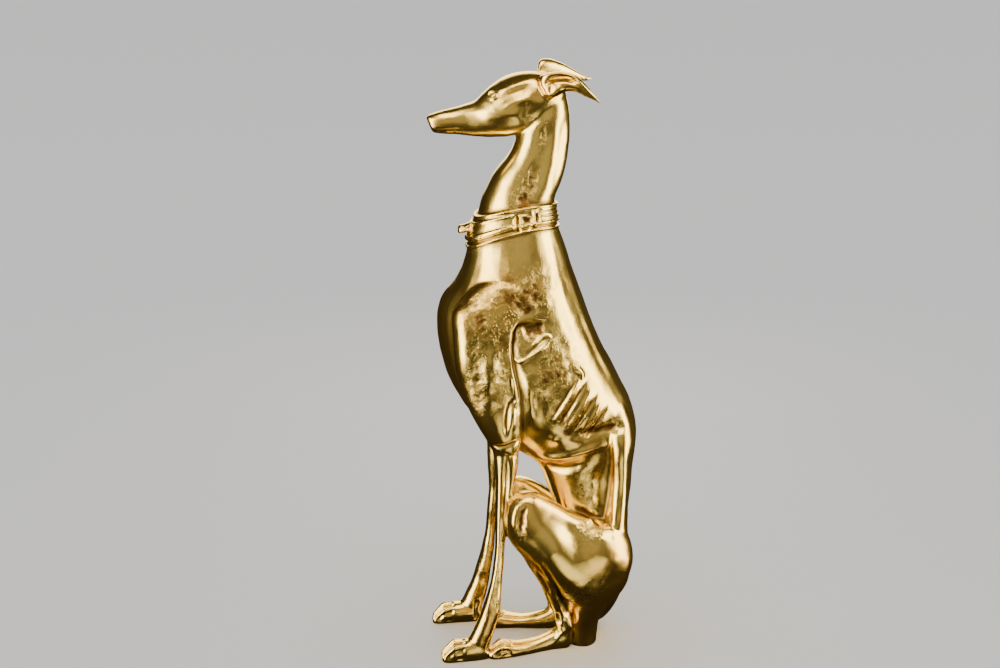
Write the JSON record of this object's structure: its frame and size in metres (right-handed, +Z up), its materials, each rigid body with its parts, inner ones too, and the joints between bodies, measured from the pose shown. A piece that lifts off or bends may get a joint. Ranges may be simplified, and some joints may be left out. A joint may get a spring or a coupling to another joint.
{
  "type": "greyhound statue",
  "caption": "Seated greyhound cast in polished gold-coloured metal, long neck with a buckled collar, ears laid back, standing on its paws and rump.",
  "frame": {"origin": "centre of the bounding box's base, on the floor plane that the paws and the rump rest on", "axes": "+Z up; the dog faces -Y and its left flank faces +X"},
  "size_m": [0.1784, 0.2796, 0.7999],
  "materials": {
    "gold_metal": "polished cast metal, pale gold on the high forms, brown and finely pitted in the hollows"
  },
  "bodies": {
    "root": {"greyhound": "gold_metal"}
  },
  "joints": []
}
